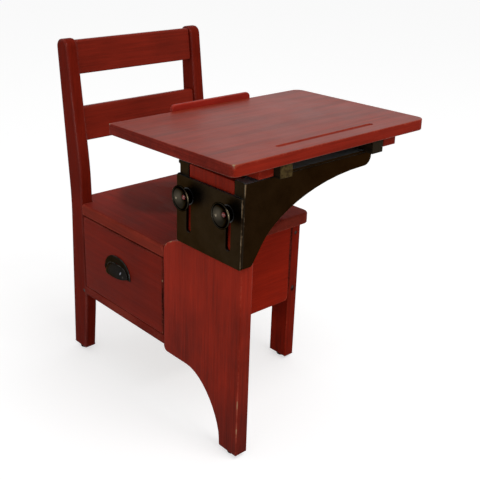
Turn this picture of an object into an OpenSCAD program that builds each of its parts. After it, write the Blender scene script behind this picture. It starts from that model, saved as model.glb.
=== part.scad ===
// School desk: a chair with a drawer under its seat and a writing top on a cast iron bracket.
// The construction is laid out from the outer face of the side panel (x = 0), the panel's
// front edge (y = 0) and the floor (z = 0). +x runs to the sitter's left, +y to the back.
// Every piece is then moved so that the origin lies on the floor under the middle of the desk.

/* [Stock] */
// Thickness of the side panel, the posts and the front leg
board_t = 28; // [24:0.5:32]
// Thickness of the aprons
apron_t = 22; // [18:0.5:24]
// Height of a glide under a foot
glide_h = 6.5; // [5:0.5:8]
// Diameter of a glide
glide_d = 22; // [18:0.5:24]

/* [Chair] */
// Width over the side panel and the front leg
chair_w = 374; // [350:1:410]
// How much narrower the chair is over its back posts
rear_taper = 11.5; // [5:0.5:18]
// Height of the seat's top
seat_h = 382.5; // [372:0.5:392]
// Thickness of the seat board
seat_t = 25; // [22:0.5:28]
// Front edge of the seat, behind the panel's front edge
seat_front_y = 184; // [180:1:188]
// How far the seat stands out past the front leg
seat_lip = 2.5; // [1:0.5:6]
// Radius of the seat's front corner
seat_corner_r = 20; // [12:1:24]
// Depth of the saddle at the seat's front edge
saddle_depth = 14; // [8:0.5:16]
// Radius of the saddle's hollow
saddle_r = 330; // [280:10:400]
// Depth of an apron, down from the seat
apron_h = 197.5; // [185:0.5:205]
// Front face of the front apron
apron_front_y = 212; // [209:0.5:215]
// Depth of the front leg
leg_d = 51; // [44:1:54]

/* [Side panel] */
// Depth of the panel beside the drawer
panel_d = 231.5; // [226:0.5:240]
// Depth of the panel's neck, which the bracket slides on
neck_d = 176; // [172:1:180]
// Depth of the panel's foot
panel_foot_d = 50; // [42:1:56]
// Height of the panel's lower edge
panel_low_z = 146; // [136:1:152]
// Where the scoop over the foot runs out
scoop_end_y = 156; // [140:1:170]
// Height where the panel's rear edge starts to curve in
shoulder_low_z = 367; // [362:1:370]
// Height where that curve meets the neck
shoulder_top_z = 410.5; // [406:0.5:412]
// Height of the notches in the neck's corners
notch_z = 539; // [534:1:540]
// Height of the neck's tongue
neck_top_z = 574; // [566:0.5:574]

/* [Back posts] */
// Front face of a post at the seat
post_front_y = 528.5; // [524:0.5:532]
// Depth of a post at the seat
post_d = 45.5; // [42:0.5:52]
// Depth of a post at its foot
post_foot_d = 46.5; // [42:0.5:52]
// Depth of a post just under its rounded top
post_top_d = 38; // [34:0.5:42]
// How far the foot is kicked back
foot_kick = 13.5; // [8:0.5:20]
// How far the top leans back past the seat
back_lean = 36; // [28:0.5:42]
// Height of the posts
post_h = 737; // [726:1:751]
// Thickness of a back slat
slat_t = 20; // [16:0.5:22]
// Height of the top slat
top_slat_h = 71.5; // [60:0.5:72.5]
// Height of the middle slat
middle_slat_h = 74; // [60:0.5:80]
// How far a slat lies behind the posts' front edges
slat_inset = 6; // [4:0.5:8]
// Height of the middle slat's lower edge
middle_slat_z = 521; // [511:0.5:531]
// Height of the top slat's lower edge
top_slat_z = 663.5; // [651:0.5:664.5]

/* [Drawer] */
// Thickness of the drawer front
front_t = 20.5; // [18:0.5:21.5]
// Thickness of the drawer's sides and back
side_t = 12; // [10:0.5:13]
// Thickness of the drawer's bottom
bottom_t = 6; // [4:0.5:8]
// Depth of the groove that holds the bottom
groove_d = 5; // [3:0.5:6]
// Depth of the rail under the drawer
rail_d = 22; // [18:0.5:24]
// Height of the rail under the drawer
rail_h = 20.5; // [16:0.5:22]
// Gap beside the drawer front and over it
front_gap = 3; // [1:0.25:3.5]
// Free height over the drawer's sides
side_drop = 12; // [10:0.5:20]
// Gap between the drawer's back end and the side apron
drawer_back_gap = 5; // [4:0.5:9]

/* [Cup pull] */
// Width of the pull's flange
pull_w = 96; // [88:1:104]
// Height of the pull's flange
pull_h = 41; // [38:0.5:46]
// Height of the pull's centre over the floor
pull_z = 261; // [251:1:271]
// Place of the pull's centre along the drawer
pull_y = 394; // [380:1:400]
// Radius of the cup's round
cup_r = 24.5; // [22:0.5:26]
// Half the length of the cup
cup_half = 38; // [36:0.5:39]
// Thickness of the pull's metal
pull_t = 2.2; // [1.6:0.2:3]
// How far the cup's axis lies behind the drawer's face
cup_back = 8; // [4:0.5:10]
// How far the cup's lip hangs under its centre
lip_drop = 1; // [0:0.5:4]
// Diameter of a pull screw's shank
pull_screw_d = 3.4; // [3:0.2:4]

/* [Bracket] */
// Thickness of the slotted pad
pad_t = 7; // [5:0.5:8]
// Height of the pad's lower edge
pad_low_z = 414.3; // [412:0.5:418]
// Height of the pad's top edge
pad_top_z = 550; // [546:0.5:552]
// How far the pad stands out past the neck, front and back
pad_margin = 3; // [2:0.5:4]
// Thickness of the bracket's webs
web_t = 6.5; // [5:0.5:8]
// Reach of the bracket from the panel's outer face
bracket_reach = 328; // [322:0.5:330]
// Height of the web's lower edge under the table
web_tip_z = 551; // [547:0.5:556]
// Top of the bracket's table at its front edge
table_z = 578.5; // [578:0.5:579.5]
// Thickness of the table
table_t = 6.5; // [5:0.5:7]
// Height of the table's raised middle
table_rise = 5; // [3:0.5:7]
// Width of an ear, seen from the side
ear_w = 26; // [22:0.5:28]
// Width of the rim round the table's open middle
table_rim = 36; // [28:1:40]
// Slope of the table and the top, lower at the sitter
top_slope = 1.3; // [0:0.1:1.5]
// Width of a height slot
slot_w = 12.6; // [12:0.2:13.4]
// How far the bracket can be raised
lift_travel = 66; // [50:1:68]

/* [Clamps] */
// Diameter of a clamp bolt
bolt_d = 10; // [9:0.5:11]
// Distance between the clamp bolts
bolt_pitch = 112; // [106:1:114]
// Height of the clamp bolts
bolt_z = 514.5; // [510:0.5:516]
// Diameter of a knob
knob_d = 50; // [46:1:56]
// Diameter of a knob's hub
hub_d = 30; // [26:1:34]
// Length of a knob from its hub's face to its rim
knob_l = 18; // [16:0.5:20]

/* [Top] */
// Width of the desk top
top_w = 518; // [508:1:528]
// Depth of the desk top
top_d = 360.5; // [350:0.5:370]
// Thickness of the desk top
top_t = 22.4; // [20:0.2:25]
// How far the top stands out past the panel's outer face
top_overhang = 52; // [47:0.5:57]
// How far the top's far edge lies in front of the panel
top_front = 29; // [27:0.5:33]
// Radius of the top's corners on the sitter's left
top_corner_r = 20; // [12:1:28]
// Radius of the worn corner that is furthest to the sitter's right and front
worn_corner_r = 12; // [6:0.5:16]
// Radius of the corner beside the sitter's right arm
sharp_corner_r = 2; // [1:0.5:4]
// Width of the pencil groove
pencil_w = 11; // [9:0.5:13]
// Depth of the pencil groove
pencil_depth = 4; // [3:0.5:5]
// Length of the pencil groove
pencil_l = 251; // [230:1:270]
// Length of the book ledge
ledge_l = 215; // [200:1:240]
// Thickness of the book ledge
ledge_t = 9; // [7:0.5:11]
// How far the ledge stands above the top
ledge_rise = 12.5; // [9:0.5:16]

/* [Slide] */
// Width of a slide bar
bar_w = 31; // [29:0.5:33]
// Height of a slide bar
bar_h = 24.8; // [24:0.2:26]
// Length of a slide bar
bar_l = 300; // [285:1:310]
// Near side of the bar on the sitter's right
bar_right_x = 59; // [57:0.5:60]
// How far the bar on the sitter's left stands out past the bracket's reach
bar_out = 9.5; // [8:0.5:11]
// How far the top can be pushed away from the sitter
slide_travel = 75; // [60:1:80]
// Distance between the two shoulder screws of a bar
slide_screw_pitch = 60; // [50:1:66]
// Diameter of a slide screw's shoulder
shoulder_d = 8; // [7:0.5:8.5]
// Width of a batten
batten_w = 36; // [32:0.5:38]
// Thickness of a batten
batten_t = 22; // [20:0.2:22.4]
// Length of a batten
batten_l = 311; // [300:1:320]

/* [Hidden] */

$fn = 48;
cut = 1;             // how far a cutting shape runs past the face it cuts
running_gap = 0.3;   // between pieces that slide on each other
shaft_gap = 0.06;    // radial, between a clamp bolt and its knob
seat_gap = 1.2;      // between the seat's notches and what stands in them
curve_steps = 12;
arc_steps = 6;

// Woods and metals
barn_red = [0.42, 0.12, 0.10];
bright_red = [0.60, 0.13, 0.10];
iron = [0.13, 0.10, 0.07];
blackened = [0.09, 0.09, 0.08];
bar_brown = [0.29, 0.24, 0.14];
steel = [0.45, 0.44, 0.42];

// Chair
seat_under_z = seat_h - seat_t;
apron_low_z = seat_under_z - apron_h;
seat_rear_y = post_front_y + post_d - 3.5;
left_post_x = chair_w - rear_taper - board_t;
leg_x = chair_w - board_t;
leg_back_y = apron_front_y + leg_d;
side_inset = 3;
apron_back_y = apron_front_y + apron_t;
rear_apron_back_y = post_front_y + post_d - 2;
rear_apron_y = rear_apron_back_y - apron_t;

// Posts
knee_z = 451;
ankle_z = 131;
ankle_r = 500;
knee_r = 700;
post_crown_r = 17;
rake = atan(back_lean / (post_h - knee_z));
function post_front(z) = post_front_y + max(0, z - knee_z) * tan(rake);

// Drawer: the front fills the opening between the panel and the post
rail_top_z = apron_low_z + rail_h;
front_y0 = panel_d + front_gap;
front_y1 = post_front_y - front_gap;
front_z0 = rail_top_z + 2 * running_gap;
front_z1 = seat_under_z - front_gap;
body_y0 = apron_back_y + 2;
body_y1 = post_front_y - 7;
body_z0 = rail_top_z + running_gap;
body_z1 = seat_under_z - side_drop;
body_x1 = left_post_x - drawer_back_gap + 2;
bottom_z = body_z0 + 8;
guide_t = 12;
guide_h = 26;
runner_w = 22;

// Bracket: the slotted pad on the panel, the webs round its neck, and the table
web_gap = 0.5;
table_inset = 0.5;    // the table's edges lie behind the webs' outer faces
pad_y0 = -pad_margin;
pad_y1 = neck_d + pad_margin;
front_web_y = -web_gap - web_t;
rear_web_y = neck_d + web_gap;
table_x0 = board_t + web_gap;
table_y1 = rear_web_y + web_t;
tongue_gap = 0.8;
ear_t = 10;
bolt_y = [neck_d / 2 - bolt_pitch / 2, neck_d / 2 + bolt_pitch / 2];
slot_play = 0.2;
slot_top_z = bolt_z + slot_play;
slot_low_z = bolt_z - lift_travel - slot_play;

// Clamps
washer_t = 2;
washer_d = hub_d + 3;
washer_x = -pad_t - running_gap;
knob_x = washer_x - washer_t - running_gap;
bolt_end_x = knob_x - knob_l * 0.86;
bolt_head_d = bolt_d * 2.3;
bolt_head_h = 5;

// Top and slide, in the table's own sloping frame
strip_z = table_z + running_gap;
top_under_z = strip_z + bar_h;
top_x0 = -top_overhang;
top_y0 = -top_front;
bar_y0 = top_y0 + 3;
batten_y0 = top_y0 + 18;
bar_left_x = bracket_reach + bar_out - bar_w;
batten_right_x = bar_right_x - 0.5 - batten_w;
batten_left_x = bar_left_x + bar_w + 21;
slot_rear_y = neck_d - 20;
slot_front_y = slot_rear_y - slide_screw_pitch - slide_travel;
slide_slot_w = shoulder_d + 0.8;
slide_head_d = shoulder_d * 2;
slide_head_h = 4;

// The outline of a polygon whose corners are rounded. A corner is [x, y, radius].
function unit(v) = v / norm(v);
function rounded_corner(a, b, c, r) =
    let (
        u = unit(a - b),
        w = unit(c - b),
        half = acos(u * w) / 2,
        reach = r / tan(half),
        centre = b + unit(u + w) * r / sin(half),
        start = b + u * reach - centre,
        turn = sign(u[0] * w[1] - u[1] * w[0]) * (2 * half - 180)
    )
    [for (i = [0 : arc_steps])
        let (t = turn * i / arc_steps)
        centre + [start[0] * cos(t) - start[1] * sin(t), start[0] * sin(t) + start[1] * cos(t)]
    ];
function rounded(corners) =
    let (
        n = len(corners),
        place = [for (c = corners) [c[0], c[1]]]
    )
    [for (i = [0 : n - 1])
        each corners[i][2] > 0
            ? rounded_corner(place[(i + n - 1) % n], place[i], place[(i + 1) % n], corners[i][2])
            : [place[i]]
    ];

// A cubic curve from p to s, pulled towards q and r
function curve(p, q, r, s) =
    [for (i = [0 : curve_steps])
        let (t = i / curve_steps)
        pow(1 - t, 3) * p + 3 * pow(1 - t, 2) * t * q + 3 * (1 - t) * t * t * r + pow(t, 3) * s
    ];

// The outline of a post, from its foot's front corner
post_outline = rounded([
    [post_front_y + foot_kick, glide_h, 2],
    [post_front_y, ankle_z, ankle_r],
    [post_front_y, knee_z, knee_r],
    [post_front_y + back_lean, post_h, post_crown_r],
    [post_front_y + back_lean + post_top_d, post_h, post_crown_r],
    [post_front_y + post_d, seat_h, knee_r],
    [post_front_y + foot_kick + post_foot_d, glide_h, 2]
]);

// Place of the origin: on the floor under the middle of the whole desk
rear_most_y = max([for (p = post_outline) p[0]]);
front_most_y = front_web_y
    + (top_y0 - front_web_y) * cos(top_slope)
    + (top_under_z - table_z) * sin(top_slope);
x_mid = top_w / 2 - top_overhang;
y_mid = (rear_most_y + front_most_y) / 2;
module at_origin() {
    translate([-x_mid, -y_mid, 0])
        children();
}

// A block between two corners
module block(low, high) {
    translate(low)
        cube(high - low);
}

// A plate whose outline lies in the y-z plane, from x to x + t
module plate_x(x, t, outline) {
    translate([x, 0, 0])
        rotate([90, 0, 90])
            linear_extrude(t)
                polygon(outline);
}

// A plate whose outline lies in the x-z plane, from y to y + t
module plate_y(y, t, outline) {
    translate([0, y + t, 0])
        rotate([90, 0, 0])
            linear_extrude(t)
                polygon(outline);
}

// A board whose outline lies in the x-y plane, from z to z + t
module plate_z(z, t, outline) {
    translate([0, 0, z])
        linear_extrude(t)
            polygon(outline);
}

// A round bar along x, from x to x + l
module rod_x(x, y, z, d, l) {
    translate([x, y, z])
        rotate([0, 90, 0])
            cylinder(d = d, h = l);
}

// A round bar along y, from y to y + l
module rod_y(x, y, z, d, l) {
    translate([x, y, z])
        rotate([-90, 0, 0])
            cylinder(d = d, h = l);
}

// The sloping frame of the bracket's table, which turns about the table's front edge
module sloping() {
    translate([0, front_web_y, table_z])
        rotate([-top_slope, 0, 0])
            translate([0, -front_web_y, -table_z])
                children();
}

// Feet: middle of each foot, for its glide
feet = [
    [board_t / 2, panel_foot_d / 2],
    [leg_x + board_t / 2, apron_front_y + leg_d / 2],
    [board_t / 2, post_front_y + foot_kick + post_foot_d / 2],
    [left_post_x + board_t / 2, post_front_y + foot_kick + post_foot_d / 2]
];
glide_pin_d = 3;
glide_pin_l = 14;
module glide_holes() {
    for (foot = feet)
        translate([foot[0], foot[1], glide_h - cut])
            cylinder(d = glide_pin_d, h = glide_pin_l + cut);
}
module glides() {
    crown = 1.5;
    for (foot = feet)
        translate([foot[0], foot[1], 0]) {
            cylinder(d1 = glide_d - 4 * crown, d2 = glide_d, h = crown);
            translate([0, 0, crown])
                cylinder(d = glide_d, h = glide_h - crown);
            translate([0, 0, glide_h])
                cylinder(d = glide_pin_d, h = glide_pin_l);
        }
}

// The side panel: foot, scoop, shoulder behind the seat's level, and the neck with its tongue
scoop_pull = 66;
shoulder_pull = 28;
module panel() {
    edge_r = 3;
    outline = concat(
        [[edge_r, glide_h], [0, glide_h + edge_r]],
        [[0, notch_z], [ear_w, notch_z], [ear_w, neck_top_z]],
        [[neck_d - ear_w, neck_top_z], [neck_d - ear_w, notch_z], [neck_d, notch_z]],
        curve(
            [neck_d, shoulder_top_z],
            [neck_d + shoulder_pull + 4, shoulder_top_z - 8],
            [panel_d, shoulder_low_z + shoulder_pull],
            [panel_d, shoulder_low_z]
        ),
        rounded_corner(
            [panel_d, shoulder_low_z],
            [panel_d, panel_low_z],
            [scoop_end_y, panel_low_z],
            12
        ),
        curve(
            [scoop_end_y, panel_low_z],
            [scoop_end_y - 0.8 * scoop_pull, panel_low_z],
            [panel_foot_d, glide_h + scoop_pull],
            [panel_foot_d, glide_h]
        )
    );
    difference() {
        plate_x(0, board_t, outline);
        for (y = bolt_y)
            rod_x(-cut, y, bolt_z, bolt_d, board_t + 2 * cut);
        glide_holes();
    }
}

// A back post, which is a rear leg below the seat
module post(x) {
    difference() {
        plate_x(x, board_t, post_outline);
        glide_holes();
        frame_screw_holes();
    }
}

// A back slat, raked with the posts, its top arrises rounded
module slat(low_z, h) {
    translate([0, post_front(low_z) + slat_inset, low_z])
        rotate([-rake, 0, 0])
            plate_x(board_t, left_post_x - board_t, rounded([
                [0, 0, 2],
                [0, h, 6],
                [slat_t, h, 6],
                [slat_t, 0, 2]
            ]));
}

// Screws of the chair's frame: two through the leg, one through the post on the right
frame_screw_d = 4.5;
frame_head_d = 8.5;
frame_head_h = 3;
frame_screw_sink = 0.4;
leg_screw_z = [seat_under_z - 31, seat_under_z - 168];
post_screw_y = post_front_y + 8;
post_screw_z = apron_low_z + 6;
module frame_screw() {
    translate([0, 0, frame_screw_sink])
        cylinder(d = frame_head_d, h = frame_head_h);
    translate([0, 0, frame_screw_sink + frame_head_h])
        cylinder(d = frame_screw_d, h = leg_d + 20);
}
module frame_screw_set() {
    for (z = leg_screw_z)
        translate([leg_x + board_t / 2, apron_front_y, z])
            rotate([-90, 0, 0])
                frame_screw();
    translate([0, post_screw_y, post_screw_z])
        rotate([0, 90, 0])
            frame_screw();
}
module frame_screw_holes() {
    sink_h = cut + frame_screw_sink + frame_head_h;
    frame_screw_set();
    for (z = leg_screw_z)
        rod_y(leg_x + board_t / 2, apron_front_y - cut, z, frame_head_d, sink_h);
    rod_x(-cut, post_screw_y, post_screw_z, frame_head_d, sink_h);
}

// The seat: notched round the panel and the posts, with a saddle that runs out at the back
module seat() {
    left_front = chair_w + seat_lip;
    left_rear = left_front - rear_taper;
    saddle_x = (board_t + left_front) / 2 - 5;
    saddle_run = post_front_y - seat_front_y;
    saddle_tilt = atan(saddle_depth / saddle_run);
    outline = concat(
        [[board_t + seat_gap, seat_front_y]],
        rounded_corner(
            [board_t + seat_gap, seat_front_y],
            [left_front, seat_front_y],
            [left_rear, seat_rear_y],
            seat_corner_r
        ),
        [
            [left_front - rear_taper * saddle_run / (seat_rear_y - seat_front_y), post_front_y - seat_gap],
            [left_post_x - seat_gap, post_front_y - seat_gap],
            [left_post_x - seat_gap, seat_rear_y],
            [board_t + seat_gap, seat_rear_y],
            [board_t + seat_gap, post_front_y - seat_gap],
            [0, post_front_y - seat_gap],
            [0, panel_d + seat_gap],
            [board_t + seat_gap, panel_d + seat_gap]
        ]
    );
    difference() {
        plate_z(seat_under_z, seat_t, outline);
        translate([saddle_x, seat_front_y, seat_h - saddle_depth])
            rotate([-90 + saddle_tilt, 0, 0])
                translate([0, -saddle_r, -50])
                    cylinder(r = saddle_r, h = saddle_run + 100, $fn = 180);
    }
}

module leg() {
    difference() {
        plate_x(leg_x, board_t, rounded([
            [apron_front_y, glide_h, 2],
            [apron_front_y, seat_under_z, 0],
            [leg_back_y, seat_under_z, 0],
            [leg_back_y, glide_h, 2]
        ]));
        glide_holes();
        frame_screw_holes();
    }
}

// The front apron's joint with the leg has opened a little, and its lower corner there is rounded
joint_gap = 0.8;
module apron_at_front() {
    plate_y(apron_front_y, apron_t, rounded([
        [board_t, apron_low_z, 0],
        [leg_x - joint_gap, apron_low_z, 8],
        [leg_x - joint_gap, seat_under_z, 0],
        [board_t, seat_under_z, 0]
    ]));
}

// The side apron runs from the leg's back to the left post, slanted in plan
module apron_at_side() {
    outer_front = chair_w - side_inset;
    outer_rear = outer_front - rear_taper;
    difference() {
        plate_z(apron_low_z, apron_h, [
            [outer_front, leg_back_y],
            [outer_rear, post_front_y],
            [outer_rear - apron_t, post_front_y],
            [outer_front - apron_t, leg_back_y]
        ]);
        frame_screw_holes();
    }
}

module apron_at_rear() {
    block([board_t, rear_apron_y, apron_low_z], [left_post_x, rear_apron_back_y, seat_under_z]);
}

module rail() {
    block([0, panel_d, apron_low_z], [rail_d, post_front_y, rail_top_z]);
}

// Runners: the drawer's sides ride on them, and the rear one has a guide on its back edge
runner_x = rail_d;
runner_end = 10;     // the front runner stops short of the leg
module runner_at_front() {
    block([board_t, apron_back_y, apron_low_z], [leg_x - runner_end, apron_back_y + runner_w, rail_top_z]);
}
module runner_at_rear() {
    y0 = body_y1 - side_t - 3;
    guide_y = body_y1 + running_gap;
    difference() {
        union() {
            block([runner_x, y0, apron_low_z], [left_post_x, rear_apron_y, rail_top_z]);
            block([runner_x, guide_y, apron_low_z], [left_post_x, guide_y + guide_t, rail_top_z + guide_h]);
        }
        block([0, post_front_y, apron_low_z - cut], [board_t, rear_apron_y + cut, seat_h]);
        frame_screw_holes();
    }
}

// Drawer: a front, two sides, a back and a bottom in grooves
groove_fit = 0.1;
module bottom_groove() {
    block(
        [front_t - groove_d, body_y0 + side_t - groove_d, bottom_z - groove_fit],
        [body_x1 + cut, body_y1 - side_t + groove_d, bottom_z + bottom_t + groove_fit]
    );
}
module front_of_drawer() {
    difference() {
        block([0, front_y0, front_z0], [front_t, front_y1, front_z1]);
        bottom_groove();
        pull_screw_set(pull_screw_d, pull_head_d, pull_head_h);
    }
}
module side_of_drawer(y) {
    difference() {
        block([front_t, y, body_z0], [body_x1, y + side_t, body_z1]);
        bottom_groove();
    }
}
module back_of_drawer() {
    block(
        [body_x1 - side_t - 6, body_y0 + side_t, bottom_z + bottom_t + groove_fit],
        [body_x1 - 6, body_y1 - side_t, body_z1 - 6]
    );
}
module bottom_of_drawer() {
    play = 0.3;
    block(
        [front_t - groove_d + play, body_y0 + side_t - groove_d + play, bottom_z],
        [body_x1 - 1, body_y1 - side_t + groove_d - play, bottom_z + bottom_t]
    );
}

// Cup pull: a cup turned about an axis along the drawer, cut open underneath, on an arched flange
pull_screw_spread = pull_w / 2 - 4.2;
pull_screw_z = pull_z + 6;
cup_power = 2 / 3;   // the cup's outline is fuller than an ellipse
pull_head_d = 6.4;
pull_head_h = 1.6;
function cup_profile(r, half) =
    [for (i = [0 : 2 * curve_steps])
        let (t = -90 + 180 * i / (2 * curve_steps))
        [r * pow(cos(t), cup_power), half * pow(abs(sin(t)), cup_power) * sign(t)]
    ];
module cup_round(r, half) {
    translate([cup_back, pull_y, pull_z])
        rotate([-90, 0, 0])
            rotate_extrude($fn = 64)
                polygon(cup_profile(r, half));
}
module pull() {
    far = cup_r + cut;
    arch = [for (i = [0 : 2 * curve_steps])
        let (t = 180 * i / (2 * curve_steps))
        [pull_y + pull_w / 2 * pow(abs(cos(t)), 0.9) * sign(cos(t)), pull_z + pull_h * pow(sin(t), 0.9)]
    ];
    tab = [
        [pull_y - pull_w / 2, pull_z - lip_drop],
        [pull_y + pull_w / 2, pull_z - lip_drop]
    ];
    difference() {
        union() {
            plate_x(-pull_t, pull_t, concat(arch, tab));
            intersection() {
                cup_round(cup_r, cup_half);
                block([-far, pull_y - cup_half, pull_z - lip_drop], [0, pull_y + cup_half, pull_z + far]);
            }
        }
        cup_round(cup_r - pull_t, cup_half - pull_t);
        block(
            [-pull_t - cut, pull_y - cup_half + pull_t, pull_z - lip_drop - cut],
            [cut, pull_y + cup_half - pull_t, pull_z]
        );
        pull_screw_set(pull_screw_d, pull_head_d, pull_head_h);
    }
}
module pull_screw_set(d, head_d, head_h) {
    for (side = [-1, 1]) {
        rod_x(-pull_t, pull_y + side * pull_screw_spread, pull_screw_z, d, pull_t + front_t - 5);
        rod_x(-pull_t - head_h, pull_y + side * pull_screw_spread, pull_screw_z, head_d, head_h);
    }
}

// Bracket casting
web_tip_r = 18;
corner_inset = 2.5;
rear_web_x0 = 4;
web_tip = [bracket_reach, web_tip_z];
web_foot_z = pad_low_z + 4;
web_foot = [17, web_foot_z];
web_knee = web_foot + [26, 39.5];
function web_outline(x0, corner_r) = concat(
    rounded_corner(web_tip - [60, 0], web_tip, [bracket_reach, table_z], web_tip_r),
    [[bracket_reach, table_z + table_rise + 10], [x0, table_z + table_rise + 10]],
    rounded_corner([x0, table_z], [x0, web_foot_z], web_foot, corner_r),
    rounded_corner([x0, web_foot_z], web_foot, web_knee, 9),
    curve(
        web_knee,
        web_knee + [22, 36],
        web_tip - [172, 0],
        web_tip - [22, 0]
    )
);
module ear(y) {
    block([-ear_t / 10, y, notch_z + 2], [ear_t, y + ear_w - tongue_gap, table_z + cut]);
    block([-pad_t, y, notch_z + 2], [ear_t, y + ear_w - tongue_gap, pad_top_z]);
}
module bracket() {
    middle_x0 = bar_right_x + bar_w + running_gap;
    middle_x1 = bar_left_x - running_gap;
    edge_y0 = front_web_y + table_inset;
    edge_y1 = table_y1 - table_inset;
    difference() {
        union() {
            difference() {
                union() {
                    plate_y(front_web_y, web_t, web_outline(-pad_t + corner_inset, 3));
                    plate_y(rear_web_y, web_t, web_outline(rear_web_x0, 2));
                    ear(-web_gap);
                    ear(neck_d + web_gap - ear_w + tongue_gap);
                }
                sloping()
                    block([-50, -50, table_z], [bracket_reach + 50, table_y1 + 50, table_z + 60]);
            }
            sloping() {
                block([table_x0, edge_y0, table_z - table_t], [bracket_reach, edge_y1, table_z]);
                for (y = [[edge_y0, ear_w - tongue_gap], [neck_d - ear_w + tongue_gap, edge_y1]])
                    block([0, y[0], table_z - table_t], [table_x0 + cut, y[1], table_z]);
                block(
                    [middle_x0, edge_y0, table_z - cut],
                    [middle_x1, edge_y1, table_z + table_rise]
                );
            }
            plate_x(-pad_t, pad_t - running_gap, rounded([
                [pad_y0, pad_low_z, 4],
                [pad_y0, pad_top_z, 3],
                [pad_y1, pad_top_z, 3],
                [pad_y1, pad_low_z, 4]
            ]));
        }
        for (y = bolt_y) {
            rod_x(-pad_t - cut, y, slot_top_z, slot_w, pad_t + 2 * cut);
            rod_x(-pad_t - cut, y, slot_low_z, slot_w, pad_t + 2 * cut);
            block([-pad_t - cut, y - slot_w / 2, slot_low_z], [cut, y + slot_w / 2, slot_top_z]);
        }
        sloping()
            block(
                [middle_x0 + table_rim, front_web_y + table_rim, table_z - table_t - cut],
                [middle_x1 - table_rim, table_y1 - table_rim, table_z + table_rise + cut]
            );
        sloping()
            for (x = slide_screw_x) {
                for (y = [slot_front_y, slot_rear_y])
                    translate([x, y, table_z - table_t - cut])
                        cylinder(d = slide_slot_w, h = table_t + 2 * cut);
                block(
                    [x - slide_slot_w / 2, slot_front_y, table_z - table_t - cut],
                    [x + slide_slot_w / 2, slot_rear_y, table_z + cut]
                );
            }
    }
}

// Clamp bolts: domed head inside the panel, shank through the panel, pad, washer and knob
module bolts() {
    for (y = bolt_y) {
        rod_x(bolt_end_x, y, bolt_z, bolt_d, board_t - bolt_end_x);
        translate([board_t, y, bolt_z])
            rotate([0, 90, 0])
                intersection() {
                    cylinder(d = bolt_head_d, h = bolt_head_h);
                    translate([0, 0, bolt_head_h - bolt_head_d * 0.7])
                        sphere(r = bolt_head_d * 0.7);
                }
    }
}
module washers() {
    for (y = bolt_y)
        difference() {
            rod_x(washer_x - washer_t, y, bolt_z, washer_d, washer_t);
            rod_x(washer_x - washer_t - cut, y, bolt_z, bolt_d + 2 * shaft_gap, washer_t + 2 * cut);
        }
}

// A knob: a hub that flares into a rounded rim, with a dished face
module knob(y) {
    r = knob_d / 2;
    rim = knob_l * 0.18;
    dish = curve(
        [r - rim, knob_l],
        [r - rim - 3, knob_l - 4],
        [bolt_d, knob_l * 0.55],
        [bolt_d * 0.8, knob_l * 0.62]
    );
    rim_round = [for (i = [0 : arc_steps])
        let (t = -60 + 150 * i / arc_steps)
        [r - rim + rim * cos(t), knob_l - rim + rim * sin(t)]
    ];
    neck = curve(
        [hub_d / 2, 0],
        [hub_d / 2, knob_l * 0.35],
        [hub_d / 2 - 1, knob_l * 0.5],
        rim_round[0]
    );
    bore = bolt_d / 2 + shaft_gap;
    translate([knob_x, y, bolt_z])
        rotate([0, -90, 0])
            rotate_extrude($fn = 72)
                polygon(concat(
                    [[bore, 0]],
                    neck,
                    [for (i = [1 : arc_steps]) rim_round[i]],
                    [for (i = [1 : curve_steps]) dish[i]],
                    [[bore, knob_l * 0.62]]
                ));
}

// Desk top, its groove, its ledge and the strips under it
top_x1 = top_x0 + top_w;
top_y1 = top_y0 + top_d;
pencil_x0 = top_x0 + 140;
pencil_y = top_y0 + 39;
ledge_x0 = top_x0 + 154;
module board() {
    r = (pow(pencil_w / 2, 2) + pow(pencil_depth, 2)) / (2 * pencil_depth);
    sloping()
        difference() {
            plate_z(top_under_z, top_t, rounded([
                [top_x0, top_y0, worn_corner_r],
                [top_x1, top_y0, top_corner_r],
                [top_x1, top_y1, top_corner_r],
                [top_x0, top_y1, sharp_corner_r]
            ]));
            translate([0, 0, top_under_z + top_t - pencil_depth + r]) {
                rod_x(pencil_x0, pencil_y, 0, 2 * r, pencil_l);
                translate([pencil_x0, pencil_y, 0])
                    sphere(r = r);
                translate([pencil_x0 + pencil_l, pencil_y, 0])
                    sphere(r = r);
            }
            ledge_screw_set();
            strip_screw_set();
        }
}

ledge_screw_d = 4;
ledge_screw_l = 28;
module ledge_screw_set() {
    for (i = [0 : 2])
        rod_y(
            ledge_x0 + ledge_l * (0.14 + 0.36 * i),
            top_y1 + ledge_t - ledge_screw_l,
            top_under_z + top_t / 2,
            ledge_screw_d,
            ledge_screw_l
        );
}
module ledge() {
    z1 = top_under_z + top_t + ledge_rise;
    sloping()
        difference() {
            plate_y(top_y1, ledge_t, rounded([
                [ledge_x0, top_under_z, 3],
                [ledge_x0, z1, 10],
                [ledge_x0 + ledge_l, z1, 10],
                [ledge_x0 + ledge_l, top_under_z, 3]
            ]));
            ledge_screw_set();
        }
}

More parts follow.
